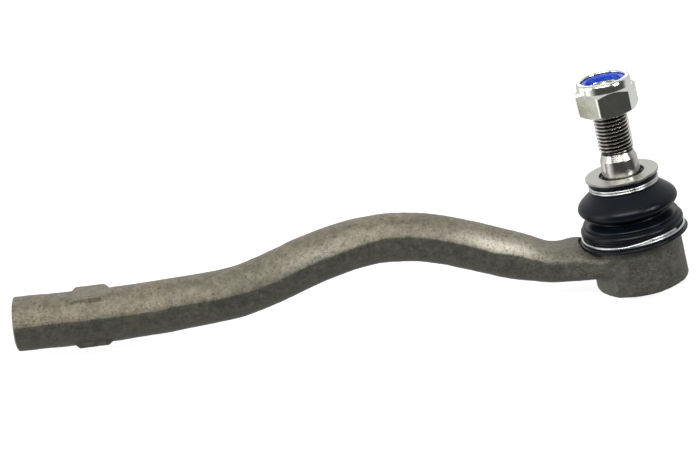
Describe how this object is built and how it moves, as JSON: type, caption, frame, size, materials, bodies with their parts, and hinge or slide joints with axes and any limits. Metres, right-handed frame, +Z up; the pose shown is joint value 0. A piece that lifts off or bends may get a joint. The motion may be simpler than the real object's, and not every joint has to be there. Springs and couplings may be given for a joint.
{
  "type": "tie rod end",
  "caption": "Forged gooseneck arm with a threaded rod socket at one end and a sealed ball joint, tapered stud and self-locking nut at the other.",
  "frame": {"origin": "centre of the threaded rod socket's mouth", "axes": "+X along the rod socket's axis towards the ball, +Z up in the plane of the arm and the ball stud, which leans 4.8 degrees from it towards the socket"},
  "size_m": [0.2757, 0.0436, 0.0888],
  "materials": {
    "forged_steel": "as-forged, shot-blasted and oiled, fine pits and scuffs",
    "plate_steel": "pressed steel, satin",
    "bright_steel": "turned and rolled, satin",
    "zinc_steel": "bright zinc plated",
    "wire_steel": "bright drawn wire",
    "boot_rubber": "moulded, satin",
    "seat_plastic": "moulded acetal",
    "blue_nylon": "moulded nylon"
  },
  "bodies": {
    "arm": {"forging": "forged_steel", "ball_seat": "seat_plastic", "closure_plate": "plate_steel", "lower_clamp": "wire_steel"},
    "bellows": {"boot": "boot_rubber"},
    "boot_collar": {"steel_ring": "bright_steel", "upper_clamp": "wire_steel"},
    "stud": {"ball_stud": "bright_steel"},
    "insert": {"nylon_insert": "blue_nylon"},
    "nut": {"lock_nut": "zinc_steel"}
  },
  "joints": [
    {"name": "stud_roll", "type": "hinge", "parent": "arm", "child": "bellows", "pos_m": [0.2544, 0, 0], "axis": [0.9965, 0, 0.0837], "range_deg": [-20, 20], "deforming": ["boot"]},
    {"name": "stud_pitch", "type": "hinge", "parent": "bellows", "child": "boot_collar", "pos_m": [0.2544, 0, 0], "axis": [0, 1, 0], "range_deg": [-20, 20], "deforming": ["boot"]},
    {"name": "stud_spin", "type": "hinge", "parent": "boot_collar", "child": "stud", "pos_m": [0.2544, 0, 0], "axis": [-0.0837, 0, 0.9965], "continuous": true},
    {"name": "nut_travel", "type": "slide", "parent": "stud", "child": "insert", "axis": [-0.0837, 0, 0.9965], "range_m": [-0.01575, 0.006]},
    {"name": "nut_turn", "type": "hinge", "parent": "insert", "child": "nut", "pos_m": [0.2544, 0, 0], "axis": [-0.0837, 0, 0.9965], "range_deg": [-3800, 1460]}
  ],
  "couplings": [
    {"joint": "nut_turn", "follows": "nut_travel", "rad_per_m": 4188.8}
  ]
}
